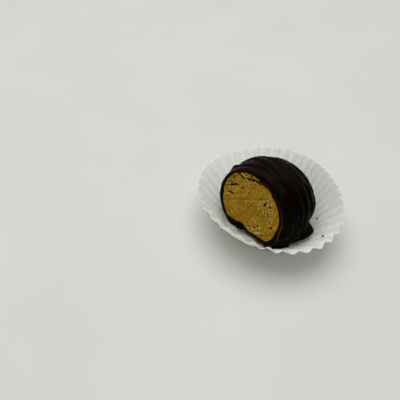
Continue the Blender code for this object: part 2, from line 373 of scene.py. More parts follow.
def drizzle(direction, along_axis, turn):
    """Height of the drizzled strands, which wander a little and swell and thin out."""
    rise = np.arcsin(np.clip(direction[..., 2], -1.0, 1.0))
    fade = smoothstep(STRAND_FADE_LOW, STRAND_FADE_HIGH, rise)
    highest = np.zeros_like(along_axis)
    for number, (place, half_width, height, slant, start) in enumerate(STRANDS):
        wander = waves(STRAND_WANDER, turn, number)
        swell = 1.0 + waves(STRAND_SWELL, turn, number)
        middle = (place + wander + slant * np.cos(turn - math.radians(start))) * MM
        offset = np.abs(along_axis - middle) / (half_width * swell * MM)
        strand = height * MM * np.sqrt(np.maximum(1.0 - offset ** STRAND_STEEPNESS, 0.0))
        beside = (offset - 1.0) * half_width * MM / GROOVE_WIDTH
        groove = GROOVE_DEPTH * np.exp(-beside ** 2)
        highest = np.maximum(highest - groove, strand)
    return highest * fade


def thinnest_radius(direction):
    """Radius at which the coat would be at its thinnest over the hollow it encloses."""
    offset = FILLING_CENTRE - CANDY_CENTRE
    towards = direction @ offset
    reach = FILLING_RADIUS + CLEARANCE + THINNEST_COAT
    return towards + np.sqrt(towards ** 2 + reach ** 2 - offset @ offset)


def coat_radius(direction, along_axis, turn):
    radius = CANDY_RADIUS + swells(direction) + drizzle(direction, along_axis, turn)
    return np.maximum(radius, thinnest_radius(direction))


def filling_radius(direction, along_axis, turn):
    return np.full_like(along_axis, FILLING_RADIUS)


def cavity_radius(direction, along_axis, turn):
    return np.full_like(along_axis, FILLING_RADIUS + CLEARANCE)


def filling_foot(points, spread):
    lump = CUT_MIDDLE + CUT_SIDE * LUMP_SIDEWAYS
    away = np.hypot(points[..., 0] - lump[0], points[..., 1] - lump[1])
    return FILLING_FOOT + LUMP_HEIGHT * np.exp(-(away / spread) ** 2)


def filling_is_clear(points):
    return points[..., 2] >= filling_foot(points, LUMP_SPREAD + CLEARANCE)


def coat_is_clear(points):
    """The coat's foot also curls up a little where the cut ends it."""
    offset = points - CUT_MIDDLE
    across = offset @ CUT_SIDE
    curl = smoothstep(*CURL_BACK, offset @ CUT_AXIS)
    curl *= smoothstep(*CURL_RIGHT, across)
    curl *= 1.0 - smoothstep(*CURL_LEFT, across)
    foot = CASE_PAPER + CLEARANCE + FOOT_CURL * curl
    return clear_of_case(points) & (points[..., 2] >= foot)


def cavity_is_clear(points):
    return points[..., 2] >= filling_foot(points, LUMP_SPREAD) - CLEARANCE


def ball_rings(centre, radius_at, is_clear, back, rows):
    """The back pole and the rings in front of it, the last one on the cut."""
    front = CUT_DISTANCE - (centre - CANDY_CENTRE) @ CUT_AXIS
    last = math.acos(-front / back)
    places = -back * np.cos(last * np.arange(1, rows + 1) / rows)
    along, turn = np.meshgrid(places, turns_round(SEGMENTS), indexing="ij")
    spoke = np.cos(turn)[..., None] * CUT_SIDE + np.sin(turn)[..., None] * CUT_UP
    middle = centre + along[..., None] * CUT_AXIS
    reach = np.sqrt(np.maximum(CANDY_RADIUS ** 2 - along ** 2, 0.0))
    for _ in range(RADIUS_PASSES):
        direction = unit(along[..., None] * CUT_AXIS + reach[..., None] * spoke)
        radius = radius_at(direction, along, turn)
        reach = np.sqrt(np.maximum(radius ** 2 - along ** 2, 0.0))
    low = np.zeros_like(reach)
    high = reach.copy()
    for _ in range(HALVINGS):
        half = (low + high) / 2.0
        clear = is_clear(middle + half[..., None] * spoke)
        low = np.where(clear, half, low)
        high = np.where(clear, high, half)
    free = is_clear(middle + reach[..., None] * spoke)
    reach = np.where(free, reach, low)
    pole_radius = radius_at(-CUT_AXIS[None], np.array([-back]), np.zeros(1))[0]
    return centre - CUT_AXIS * pole_radius, middle + reach[..., None] * spoke


def on_face(points):
    """Places on the cut, in mm: across to the left, up, and nought."""
    offset = (points - CUT_MIDDLE) / MM
    return np.stack((offset @ CUT_SIDE, offset @ CUT_UP, np.zeros(points.shape[:-1])), -1)


def put(name, data):
    """A new object in the scene."""
    thing = bpy.data.objects.new(name, data)
    bpy.context.collection.objects.link(thing)
    return thing


def solid(name, points, faces, **shades):
    """A smooth mesh piece.  shades are values at its points, kept for the material."""
    mesh = bpy.data.meshes.new(name)
    mesh.from_pydata(points, [], faces)
    mesh.shade_smooth()
    for label, shade in shades.items():
        values = shade.astype(np.float32)
        mesh.attributes.new(label, "FLOAT", "POINT").data.foreach_set("value", values)
    return put(name, mesh)


def quads(first, sides):
    """Faces from the ring that starts at a point's number to the next ring."""
    step = first + np.arange(sides)
    after = first + (np.arange(sides) + 1) % sides
    return np.stack((step, step + sides, after + sides, after), -1).tolist()


def skin(name, first_pole, rings, last_pole, **shades):
    """A closed mesh over rings of equal count, from one pole to the other."""
    rows, sides = rings.shape[:2]
    points = np.vstack((first_pole, rings.reshape(-1, 3), last_pole))
    step = 1 + np.arange(sides)
    after = 1 + (np.arange(sides) + 1) % sides
    faces = np.stack((np.zeros(sides, int), step, after), -1).tolist()
    for row in range(rows - 1):
        faces += quads(1 + row * sides, sides)
    edge = (rows - 1) * sides
    pole = np.full(sides, len(points) - 1)
    faces += np.stack((edge + step, pole, edge + after), -1).tolist()
    padded = {label: np.concatenate(([0.0], shade.ravel(), [0.0]))
              for label, shade in shades.items()}
    return solid(name, points.tolist(), faces, **padded)


# ---- the filling --------------------------------------------------------------------
def pit_depth(face):
    """Depth (mm) of the pits and cracks, and how near (0 to 1) their raised rims are."""
    bends = (uneven(face, 1.0, 2, 31.0), uneven(face, 1.0, 2, 32.0), np.zeros(face.shape[:-1]))
    bent = face + PIT_BEND * np.stack(bends, -1)
    ragged = 1.0 + PIT_RAGGED * uneven(face, 0.5, 2, 5.0)
    depth = np.zeros(face.shape[:-1])
    rims = np.zeros(face.shape[:-1])
    for across, up, half_length, half_width, deep, angle in PITS:
        cosine, sine = math.cos(math.radians(angle)), math.sin(math.radians(angle))
        dx, dy = bent[..., 0] - across, bent[..., 1] - up
        long_way = dx * cosine + dy * sine
        short_way = dy * cosine - dx * sine
        away = np.hypot(long_way / half_length, short_way / half_width) * ragged
        depth = np.maximum(depth, deep * np.exp(-away ** 4))
        out = np.hypot(long_way / (half_length + RIM_OUT), short_way / (half_width + RIM_OUT))
        rims = np.maximum(rims, np.exp(-((out * ragged - 1.0) / RIM_WIDTH) ** 2))
    return depth, rims


def knife_depth(face):
    """Depth (mm) of the lines that the knife dragged."""
    depth = np.zeros(face.shape[:-1])
    for x0, y0, x1, y1, deep, half_width in KNIFE_LINES:
        length = math.hypot(x1 - x0, y1 - y0)
        ux, uy = (x1 - x0) / length, (y1 - y0) / length
        dx, dy = face[..., 0] - x0, face[..., 1] - y0
        along = (dx * ux + dy * uy) / length
        off = dy * ux - dx * uy + KNIFE_WOBBLE * np.sin(6.0 * along)
        fade = smoothstep(0.0, 0.1, along) * (1.0 - smoothstep(0.9, 1.0, along))
        depth += deep * fade * np.exp(-(off / half_width) ** 2)
    return depth


def grains(face, size, chance, seed):
    """Height (0 to 1) of round grains that lie in some cells of a random net."""
    def field(place):
        distances, corners = noise.voronoi(place / size + Vector((seed, seed, seed)))
        luck = abs(noise.cell(corners[0] * 7.3))
        if luck > chance:
            return 0.0
        return max(0.0, 1.0 - distances[0] / (0.25 + 0.3 * luck / chance))
    return sample(field, face)


def crumb_relief(face):
    """Height (mm) of the filling's cut face, and its tint of painted light: painted shade in
    pits above 0, painted highlight on crumbs below.
    """
    torn = np.full(face.shape[:-1], SMOOTH_FACE)
    for across, up, radius, share in TORN:
        away = np.hypot(face[..., 0] - across, face[..., 1] - up) / radius
        torn = np.maximum(torn, share * np.exp(-away ** 4))
    height = BROAD_HEIGHT * uneven(face, 4.0, 2, 1.0)
    height += FINE_HEIGHT * uneven(face, 1.6, 3, 2.0)
    crumbly = torn * uneven(face, 0.75, 3, 3.0)
    pores = grains(face, 0.9, 0.45, 41.0) * torn
    pits, rims = pit_depth(face)
    crumbs = grains(face, 0.95, 0.7, 42.0) * (SMOOTH_FACE + (1.0 - SMOOTH_FACE) * torn)
    crumbs = crumbs * np.maximum(1.0 - 3.0 * pits, 0.0)
    rims = rims * np.clip(0.5 + uneven(face, 0.8, 2, 33.0), 0.0, 1.0)
    lines = knife_depth(face)
    height += CRUMBLY_HEIGHT * crumbly + CRUMB_HEIGHT * crumbs + RIM_HEIGHT * rims
    height -= PORE_DEPTH * pores + pits + lines
    # The tint holds painted shade in pores, pits and knife grooves, and a painted highlight on
    # crumbs, pit rims, raised lines and crumbly high spots.
    shade_and_smear = PORE_SHADE * pores + PIT_SHADE * pits + GROOVE_SHADE * np.maximum(lines, 0.0)
    painted_highlight = CRUMB_HIGHLIGHT * crumbs + RIM_HIGHLIGHT * rims + RAISED_LINE_HIGHLIGHT * np.maximum(-lines, 0.0)
    painted_highlight += CRUMBLY_HIGHLIGHT * crumbly
    return height, np.clip(shade_and_smear - painted_highlight, -1.0, 1.0)


def edge_reach(turn):
    """How far (mm) the filling shows past the coat's mouth, with its ragged edge."""
    angles, reaches = zip(*EDGE_REACH)
    degrees = np.degrees(turn)
    ring = np.stack((np.cos(turn), np.sin(turn), np.zeros_like(turn)), -1)
    ragged = uneven(ring, 0.06, 3, 9.0)
    broad = uneven(ring, 0.3, 2, 4.0)
    top = np.exp(-((degrees - TOP_TURN) / TOP_SPREAD) ** 4)
    even = np.interp(degrees, angles, reaches, period=360.0)
    even += MOUTH_RAGGED * ragged + MOUTH_WAVY * broad
    return even + top * (TOP_RAGGED * ragged + TOP_WAVY * broad)


def make_filling():
    pole, side = ball_rings(FILLING_CENTRE, filling_radius, filling_is_clear,
                            FILLING_RADIUS, CAVITY_ROWS)
    edge = side[-1]
    middle = edge.mean(0)
    turn = turns_round(SEGMENTS)
    reach = np.maximum(edge_reach(turn) + EDGE_OVERLAP, 0.0) * MM
    edge = edge + unit(edge - middle) * reach[:, None]
    share = 1.0 - np.arange(FACE_ROWS)[:, None] / FACE_ROWS
    flat = middle + (edge - middle) * share[..., None]
    face = on_face(flat)
    height, tint = crumb_relief(face)
    rim = smoothstep(1.0, EDGE_ROUND, share)
    height = height * rim - EDGE_DROP * (1.0 - rim)
    rings = flat + (height * MM)[..., None] * CUT_AXIS
    rings = np.concatenate((side[:-1], rings))
    smeared = np.exp(-((np.degrees(turn) - EDGE_SMEAR_TURN) / EDGE_SMEAR_SPREAD) ** 4)
    smeared = smeared * np.exp(-((1.0 - share) / EDGE_SMEAR_DEPTH) ** 2)
    tint = tint + smeared * np.clip(0.35 + 0.8 * uneven(face, 1.2, 3, 7.0), 0.0, 1.0)
    tint = np.concatenate((np.zeros(side[:-1].shape[:-1]), tint))
    last = middle + CUT_AXIS * height[-1].mean() * MM
    return skin("peanut_butter_filling", pole, rings, last, tint=tint)


# ---- the chocolate coat -------------------------------------------------------------
def coat_unevenness(points):
    """Height (mm) of the hand-dipped coat's own softly uneven surface."""
    soft = 0.30 * uneven(points / MM, 4.5, 2, 11.0)
    fine = 0.05 * uneven(points / MM, 1.3, 3, 12.0)
    spare = np.linalg.norm(points - FILLING_CENTRE, axis=-1) / MM
    spare -= (FILLING_RADIUS + CLEARANCE + THINNEST_COAT) / MM
    return np.clip(soft + fine - 0.1, -np.clip(spare, 0.0, DEEPEST_DIP), 0.0)


def crest_share(outside):
    """How much (0 to 1) a place is the top of a strand that faces up and to the left, which gets
    a painted highlight.
    """
    radius = np.linalg.norm(outside - CANDY_CENTRE, axis=-1)
    rise = (outside - CANDY_CENTRE) @ HIGHLIGHT_FACING / radius
    height = (radius - CANDY_RADIUS) / MM
    return smoothstep(0.0, 0.5, height) * smoothstep(0.3, 0.95, rise)


def burr(face):
    """Height of the burr (0 to 1), which also sets its painted highlight, and whether a place is
    broken (1) or outside it (0).
    """
    angles, distances, strengths = zip(*BURR)
    degrees = np.degrees(np.arctan2(face[..., 1], face[..., 0]))
    line = np.interp(degrees, angles, distances, period=360.0)
    strength = np.interp(degrees, angles, strengths, period=360.0)
    away = np.hypot(face[..., 0], face[..., 1])
    out = away - np.minimum(line, away[0] - BURR_HALF_WIDTH)
    height = strength * np.exp(-(out / BURR_HALF_WIDTH) ** 2)
    return height, 1.0 - smoothstep(0.0, 0.5, out)


def make_coat():
    pole, outside = ball_rings(CANDY_CENTRE, coat_radius, coat_is_clear,
                               CANDY_RADIUS, COAT_ROWS)
    inner_pole, inside = ball_rings(FILLING_CENTRE, cavity_radius, cavity_is_clear,
                                    FILLING_RADIUS + CLEARANCE, CAVITY_ROWS)
    dips = coat_unevenness(outside) * MM
    outside = outside + dips[..., None] * unit(outside - CANDY_CENTRE)
    outer_edge = outside[-1]
    hole = inside[-1]
    reach = edge_reach(turns_round(SEGMENTS)) * MM
    lip = hole + unit(hole - hole.mean(0)) * reach[:, None]
    share = np.arange(1, BAND_ROWS + 1)[:, None] / BAND_ROWS
    band = outer_edge + (lip - outer_edge) * share[..., None]
    face = on_face(band)
    ends = np.sin(math.pi * np.minimum(share, 0.85))
    broken = (BREAK_ROUGH * uneven(face, 1.1, 3, 6.0) + BREAK_PROUD) * ends + BREAK_LEVEL
    lump = np.hypot((face[..., 0] - LUMP_SPOT[0]) / LUMP_HALF[0],
                    (face[..., 1] - LUMP_SPOT[1]) / LUMP_HALF[1])
    broken += LUMP_BULGE * np.sqrt(np.maximum(1.0 - lump ** 2, 0.0))
    burr_and_highlight, torn = burr(face)
    torn = torn * smoothstep(0.9, 1.1, lump)
    broken += BURR_HEIGHT * burr_and_highlight
    band = band + (broken * MM)[..., None] * CUT_AXIS
    under = lip - CUT_AXIS * LIP_THICK * MM
    mouth = hole - CUT_AXIS * LIP_BACK * MM
    rings = np.concatenate((outside, band, under[None], mouth[None], inside[-2::-1]))
    tint = np.zeros(rings.shape[:-1])
    # The broken edge's own browner colour up to 1, and the burr's painted highlight above 1.
    tint[len(outside):len(outside) + BAND_ROWS] = torn + burr_and_highlight
    # Painted highlight on the tops of strands that face up and to the left.
    crest = np.zeros(rings.shape[:-1])
    crest[:len(outside)] = crest_share(outside)
    return skin("drizzled_coat", pole, rings, inner_pole, tint=tint, crest=crest)


# ---- node helpers -------------------------------------------------------------------
def wire(tree, socket, value):
    if isinstance(value, bpy.types.NodeSocket):
        tree.links.new(value, socket)
    else:
        socket.default_value = value


def add_node(tree, kind, **inputs):
    """A node with its named inputs set; _ stands for a space in a name."""
    node = tree.nodes.new(kind)
    for label, value in inputs.items():
        wire(tree, node.inputs[label.replace("_", " ")], value)
    return node


def calculate(tree, kind, operation, values):
    node = tree.nodes.new(kind)
    node.operation = operation
    for socket, value in zip(node.inputs, values):
        wire(tree, socket, value)
    return node.outputs


def maths(tree, operation, *values):
    """One Math node; a value is a number or another node's output."""
    return calculate(tree, "ShaderNodeMath", operation, values)[0]


def vector_maths(tree, operation, *values):
    return calculate(tree, "ShaderNodeVectorMath", operation, values)


def shader_material(name):
    material = bpy.data.materials.new(name)
    material.use_nodes = True
    tree = material.node_tree
    return material, tree, tree.nodes["Principled BSDF"]


def noise_texture(tree, place, scale, detail, seed):
    node = tree.nodes.new("ShaderNodeTexNoise")
    node.noise_dimensions = "4D"
    for label, value in (("Vector", place), ("Scale", scale), ("Detail", detail), ("W", seed)):
        wire(tree, node.inputs[label], value)
    return node.outputs["Fac"]


def grain(tree, size, detail, seed):
    """Noise on object coordinates, with patches of about a size in metres."""
    place = add_node(tree, "ShaderNodeTexCoord").outputs["Object"]
    return noise_texture(tree, place, 1.0 / size, detail, seed)


def spread(tree, value, low, high, new_low, new_high):
    node = tree.nodes.new("ShaderNodeMapRange")
    node.interpolation_type = "SMOOTHSTEP"
    for socket, given in zip(node.inputs, (value, low, high, new_low, new_high)):
        wire(tree, socket, given)
    return node.outputs[0]


def blend_colours(tree, share, first, second):
    node = tree.nodes.new("ShaderNodeMix")
    node.data_type = "RGBA"
    wire(tree, node.inputs["Factor"], share)
    for socket, value in ((node.inputs[6], first), (node.inputs[7], second)):
        wire(tree, socket, value if isinstance(value, bpy.types.NodeSocket) else (*value, 1.0))
    return node.outputs[2]


def attribute(tree, name):
    node = tree.nodes.new("ShaderNodeAttribute")
    node.attribute_name = name
    return node.outputs["Fac"]


def relief(tree, shader, heights, strength, distance):
    """Bump from the sum of some heights (each an output and its share)."""
    total = 0.0
    for value, share in heights:
        total = maths(tree, "MULTIPLY_ADD", value, share, total)
    node = tree.nodes.new("ShaderNodeBump")
    node.inputs["Strength"].default_value = strength
    node.inputs["Distance"].default_value = distance
    tree.links.new(total, node.inputs["Height"])
    tree.links.new(node.outputs["Normal"], shader.inputs["Normal"])


# ---- materials ----------------------------------------------------------------------
def peanut_butter():
    """Dull gold dough with a faint oily sheen: crumbs paler with a painted highlight, pits
    browner with painted shade.
    """
    material, tree, shader = shader_material("peanut_butter")
    patches = spread(tree, grain(tree, 4.0 * MM, 3.0, 1.0), 0.35, 0.65, 0.0, 1.0)
    dough = blend_colours(tree, patches, (0.310, 0.155, 0.003), (0.420, 0.248, 0.006))
    smears = spread(tree, grain(tree, 2.2 * MM, 2.0, 1.5), 0.45, 0.68, 0.0, 0.55)
    dough = blend_colours(tree, smears, dough, (0.215, 0.098, 0.002))
    specks = spread(tree, grain(tree, 0.6 * MM, 3.0, 2.0), 0.52, 0.70, 0.0, 0.75)
    dough = blend_colours(tree, specks, dough, (0.66, 0.45, 0.08))
    nuts = spread(tree, grain(tree, 0.9 * MM, 2.0, 3.0), 0.56, 0.68, 0.0, 0.6)
    dough = blend_colours(tree, nuts, dough, (0.19, 0.078, 0.002))
    # Below nought the tint is a painted highlight; above it, painted shade and the chocolate
    # smeared over the edge.
    tint = attribute(tree, "tint")
    painted_highlight = spread(tree, tint, 0.0, -0.8, 0.0, 1.0)
    dough = blend_colours(tree, painted_highlight, dough, (0.74, 0.55, 0.20))
    shade_and_smear = spread(tree, tint, 0.05, 0.8, 0.0, 1.0)
    dough = blend_colours(tree, shade_and_smear, dough, (0.058, 0.015, 0.003))
    tree.links.new(dough, shader.inputs["Base Color"])
    gloss = spread(tree, grain(tree, 1.6 * MM, 3.0, 4.0), 0.3, 0.7, 0.5, 0.8)
    tree.links.new(gloss, shader.inputs["Roughness"])
    shader.inputs["Specular IOR Level"].default_value = 0.08
    relief(tree, shader, [(grain(tree, 0.45 * MM, 4.0, 5.0), 1.0)], 0.7, 0.12 * MM)
    return material


def dark_chocolate():
    """Nearly black satin chocolate, browner and duller where the knife broke it, with a painted
    highlight on up-facing strand tops and on the burr.
    """
    material, tree, shader = shader_material("dark_chocolate")
    bloom = spread(tree, grain(tree, 7.0 * MM, 3.0, 6.0), 0.35, 0.7, 0.0, 1.0)
    body = blend_colours(tree, bloom, (0.0006, 0.0002, 0.0001), (0.0018, 0.0007, 0.0003))
    # Painted highlight: a warmer brown on strand tops that face up and to the left.
    crest = blend_colours(tree, bloom, (0.0038, 0.0016, 0.0006), (0.0080, 0.0036, 0.0020))
    body = blend_colours(tree, attribute(tree, "crest"), body, crest)
    broken = blend_colours(tree, grain(tree, 0.8 * MM, 3.0, 7.0),
                           (0.0024, 0.0007, 0.0004), (0.0085, 0.0030, 0.0015))
    tint = attribute(tree, "tint")
    body = blend_colours(tree, spread(tree, tint, 0.0, -1.0, 0.0, 1.0), body,
                         (0.040, 0.013, 0.004))
    body = blend_colours(tree, spread(tree, tint, 0.0, 1.0, 0.0, 1.0), body, broken)
    # Painted highlight: the burr pale, where the tint is above 1.
    body = blend_colours(tree, spread(tree, tint, 1.0, 2.0, 0.0, 1.0), body,
                         (0.085, 0.052, 0.038))
    tree.links.new(body, shader.inputs["Base Color"])
    satin = spread(tree, grain(tree, 3.0 * MM, 4.0, 8.0), 0.3, 0.7, 0.36, 0.50)
    dull = maths(tree, "MULTIPLY_ADD", maths(tree, "ABSOLUTE", tint), 0.1, satin)
    tree.links.new(dull, shader.inputs["Roughness"])
    shader.inputs["Specular IOR Level"].default_value = 0.04
    shader.inputs["Specular Tint"].default_value = (1.0, 0.72, 0.44, 1.0)
    heights = [(grain(tree, 0.6 * MM, 4.0, 9.0), 0.3), (grain(tree, 2.5 * MM, 2.0, 10.0), 1.0)]
    relief(tree, shader, heights, 0.3, 0.1 * MM)
    return material


def white_paper():
    """Thin matt white paper, faintly mottled, tinted cream low on the wall facing the cut, with
    a dark patch before the cut's foot that is partly oil-soaked paper and partly painted shadow.
    """
    material, tree, shader = shader_material("white_paper")
    mottle = spread(tree, grain(tree, 1.2 * MM, 4.0, 11.0), 0.3, 0.7, 0.0, 1.0)
    sheet = blend_colours(tree, mottle, (0.90, 0.91, 0.88), (0.94, 0.95, 0.92))
    oil = attribute(tree, "oil")
    # A cream tint low on the wall that faces the cut.
    sheet = blend_colours(tree, spread(tree, oil, 0.0, 1.0, 0.0, 1.0), sheet,
                          (0.84, 0.82, 0.66))
    # Painted shadow before the cut's foot, partly oil-soaked paper, where the value passes 0.8.
    sheet = blend_colours(tree, spread(tree, oil, 0.8, 1.6, 0.0, 1.0), sheet,
                          (0.11, 0.12, 0.07))
    tree.links.new(sheet, shader.inputs["Base Color"])
    fibre = spread(tree, grain(tree, 0.5 * MM, 4.0, 12.0), 0.3, 0.7, 0.5, 0.75)
    tree.links.new(fibre, shader.inputs["Roughness"])
    shader.inputs["Subsurface Weight"].default_value = 0.8
    shader.inputs["Subsurface Radius"].default_value = (1.0, 1.0, 0.95)
    shader.inputs["Subsurface Scale"].default_value = 0.6 * MM
    shader.inputs["Specular IOR Level"].default_value = 0.25
    heights = [(grain(tree, 0.35 * MM, 4.0, 13.0), 0.4), (grain(tree, 2.0 * MM, 3.0, 14.0), 1.0)]
    relief(tree, shader, heights, 0.3, 0.1 * MM)
    return material


def table_top():
    """Plain pale table, very softly mottled."""
    material, tree, shader = shader_material("pale_table")
    cloud = spread(tree, grain(tree, 60.0 * MM, 2.0, 15.0), 0.3, 0.7, 0.0, 1.0)
    top = blend_colours(tree, cloud, (0.69, 0.71, 0.68), (0.72, 0.74, 0.71))
    tree.links.new(top, shader.inputs["Base Color"])
    shader.inputs["Roughness"].default_value = 0.6
    shader.inputs["Specular IOR Level"].default_value = 0.3
    return material


# ---- the paper case, by a node tree -------------------------------------------------
CASE_COLUMNS = CASE_FLUTES * 14
CASE_ROWS = 56
FOOT_SHARE = 0.12                 # rows that the foot takes, as a share
FINE_PAPER = 0.12 * MM
FLUTE_UNEVENNESS = 0.16           # how far a flute strays, as a share of a flute
FLUTE_BLUNTNESS = 0.55            # share of the blunt wave; the rest is the round one
FLUTE_FULLNESS = 0.95             # depth of the deepest flutes, as a share
FLUTE_ONSET = 40.0                # the flutes are at full depth after 1/40 of the wall
CRINKLE = 0.5 * MM
JOIN_DISTANCE = 0.01 * MM
# Where the paper is painted dark before the cut's foot, partly oil-soaked and partly painted
# shadow:
# the two ends of each soft border, from the middle of the cut, along its axis and across it.
SOAK_SHADOW_FRONT = (-1.2 * MM, 0.2 * MM)
SOAK_SHADOW_BACK = (-6.5 * MM, -5.0 * MM)
SOAK_SHADOW_LEFT = (1.0 * MM, 5.0 * MM)
SOAK_SHADOW_RIGHT = (-12.0 * MM, -9.0 * MM)


def tree_with_inputs(name, sizes):
    """A geometry node tree whose group inputs are named sizes, and its ends."""
    tree = bpy.data.node_groups.new(name, "GeometryNodeTree")
    tree.interface.new_socket("Geometry", in_out="OUTPUT", socket_type="NodeSocketGeometry")
    for label, value in sizes.items():
        socket = tree.interface.new_socket(label, in_out="INPUT", socket_type="NodeSocketFloat")
        socket.default_value = value
    start = tree.nodes.new("NodeGroupInput")
    end = tree.nodes.new("NodeGroupOutput")
    return tree, start.outputs, end.inputs["Geometry"]


def plain_mesh(name, tree, values, finishing=()):
    """Runs a node tree on a new object, and gives the result as a plain mesh piece."""
    holder = put(name + "_maker", bpy.data.meshes.new(name + "_maker"))
    modifier = holder.modifiers.new("shape", "NODES")
    modifier.node_group = tree
    for item in tree.interface.items_tree:
        if item.in_out == "INPUT" and item.name in values:
            modifier[item.identifier] = values[item.name]
    for finish in finishing:
        finish(holder)
    bpy.context.view_layer.update()
    evaluated = holder.evaluated_get(bpy.context.evaluated_depsgraph_get())
    mesh = bpy.data.meshes.new_from_object(evaluated, preserve_all_data_layers=True,
                                           depsgraph=bpy.context.evaluated_depsgraph_get())
    mesh.name = name
    holder.modifiers.clear()
    bpy.data.objects.remove(holder)
    return put(name, mesh)


def case_tree(paper):
    """Flat paper pressed into flutes: a grid, whose x runs round and whose y runs up."""
    sizes = {
        "Foot Radius": CASE_FOOT_RADIUS,
        "Wall": CASE_WALL,
        "Crease": CREASE_LENGTH,
        "Flutes": float(CASE_FLUTES),
        "Mean Flare": FLARE_MEAN,
        "Crowding": FLUTE_CROWD,
        "Unevenness": FLUTE_UNEVENNESS,
        "Paper Height": CASE_PAPER / 2.0,
    }
    tree, given, result = tree_with_inputs("fluted_case", sizes)

    def do(operation, *values):
        return maths(tree, operation, *values)

    grid = add_node(tree, "GeometryNodeMeshGrid", Size_X=1.0, Size_Y=1.0,
                    Vertices_X=CASE_COLUMNS + 1, Vertices_Y=CASE_ROWS + 1)
    place = add_node(tree, "GeometryNodeInputPosition").outputs[0]
    parts = add_node(tree, "ShaderNodeSeparateXYZ", Vector=place)
    round_share = do("ADD", parts.outputs["X"], 0.5)
    up_share = do("ADD", parts.outputs["Y"], 0.5)

    def noise_at(x, y, z, scale, seed):
        corner = add_node(tree, "ShaderNodeCombineXYZ", X=x, Y=y, Z=z)
        return do("SUBTRACT", noise_texture(tree, corner.outputs[0], scale, 2.0, seed), 0.5)

    def past_cut(axis):
        """How far the paper is past the middle of the cut, along an axis of the cut."""
        reach = vector_maths(tree, "DOT_PRODUCT", spot.outputs[0], axis.tolist())
        return do("SUBTRACT", reach["Value"], float(CUT_MIDDLE @ axis))

    even = do("MULTIPLY_ADD", round_share, 2.0 * math.pi, FLUTE_START)
    crowd = do("SINE", do("SUBTRACT", even, FLUTE_WIDE_SIDE))
    turn = do("MULTIPLY_ADD", crowd, given["Crowding"], even)
    cosine, sine = do("COSINE", turn), do("SINE", turn)

    # How far up the paper, from minus the foot's radius at the middle of the foot.
    foot_part = do("DIVIDE", do("MINIMUM", up_share, FOOT_SHARE), FOOT_SHARE)
    wall_part = do("DIVIDE", do("MAXIMUM", do("SUBTRACT", up_share, FOOT_SHARE), 0.0),
                   1.0 - FOOT_SHARE)
    before = do("MULTIPLY", do("SUBTRACT", foot_part, 1.0), given["Foot Radius"])
    along = do("MULTIPLY", wall_part, given["Wall"])

    slope = given["Mean Flare"]
    for order, (cosine_part, sine_part) in enumerate(FLARE_TURNS, start=1):
        multiple = do("MULTIPLY", turn, float(order))
        slope = do("MULTIPLY_ADD", do("COSINE", multiple), cosine_part, slope)
        slope = do("MULTIPLY_ADD", do("SINE", multiple), sine_part, slope)
    bend = do("MULTIPLY", slope, do("MINIMUM", do("DIVIDE", along, given["Crease"]), 1.0))
    curve = do("DIVIDE", given["Crease"], slope)
    rest = do("MAXIMUM", do("SUBTRACT", along, given["Crease"]), 0.0)
    radius = do("ADD", given["Foot Radius"], before)
    radius = do("MULTIPLY_ADD", curve, do("SINE", bend), radius)
    radius = do("MULTIPLY_ADD", rest, do("COSINE", slope), radius)
    height = do("MULTIPLY", curve, do("SUBTRACT", 1.0, do("COSINE", bend)))
    height = do("MULTIPLY_ADD", rest, do("SINE", slope), height)

    # The flutes take up the paper that the wall's circle is too short for.
    width = do("MULTIPLY_ADD", do("COSINE", do("SUBTRACT", turn, FLUTE_WIDE_SIDE)),
               given["Crowding"], 1.0)
    paper_length = do("ADD", given["Foot Radius"], along)
    circle = do("MULTIPLY_ADD", do("SUBTRACT", radius, given["Foot Radius"]), width,
                given["Foot Radius"])
    spare = do("SUBTRACT", do("MULTIPLY", paper_length, paper_length),
               do("MULTIPLY", circle, circle))
    depth = do("MULTIPLY", do("SQRT", do("MAXIMUM", spare, 0.0)),
               do("DIVIDE", math.pi, given["Flutes"]))
    depth = do("MULTIPLY", depth, do("MINIMUM", do("MULTIPLY", wall_part, FLUTE_ONSET), 1.0))

    # Each flute is a blunt wave, a little unlike its neighbours.
    around = do("MULTIPLY", round_share, given["Flutes"])
    shift = noise_at(cosine, sine, do("MULTIPLY", up_share, 0.25), 5.0, 21.0)
    phase = do("MULTIPLY_ADD", shift, given["Unevenness"], around)
    saw = do("ABSOLUTE", do("SUBTRACT", do("FRACT", phase), 0.5))
    wave = do("SUBTRACT", do("MULTIPLY", saw, 4.0), 1.0)
    blunt = do("DIVIDE", wave, 1.0 - 4.0 * FLUTE_FLAT)
    blunt = do("MAXIMUM", do("MINIMUM", blunt, 1.0), -1.0)
    round_wave = do("SINE", do("MULTIPLY", wave, math.pi / 2.0))
    side = do("ADD", do("MULTIPLY", blunt, FLUTE_BLUNTNESS),
              do("MULTIPLY", round_wave, 1.0 - FLUTE_BLUNTNESS))
    swell = do("ABSOLUTE", do("MULTIPLY", noise_at(cosine, sine, 0.0, 7.0, 22.0), 0.5))
    side = do("MULTIPLY", side, do("SUBTRACT", FLUTE_FULLNESS, swell))
    crinkle = noise_at(do("MULTIPLY", cosine, 3.0), do("MULTIPLY", sine, 3.0),
                       do("MULTIPLY", up_share, 3.0), 4.0, 23.0)
    out = do("MULTIPLY", do("MULTIPLY", side, depth), 0.5)
    out = do("MULTIPLY_ADD", do("MULTIPLY", crinkle, wall_part), CRINKLE, out)

    radius = do("MULTIPLY_ADD", out, do("SINE", bend), radius)
    height = do("SUBTRACT", do("ADD", height, given["Paper Height"]),
                do("MULTIPLY", out, do("COSINE", bend)))
    spot = add_node(tree, "ShaderNodeCombineXYZ", X=do("MULTIPLY", radius, cosine),
                    Y=do("MULTIPLY", radius, sine), Z=height)
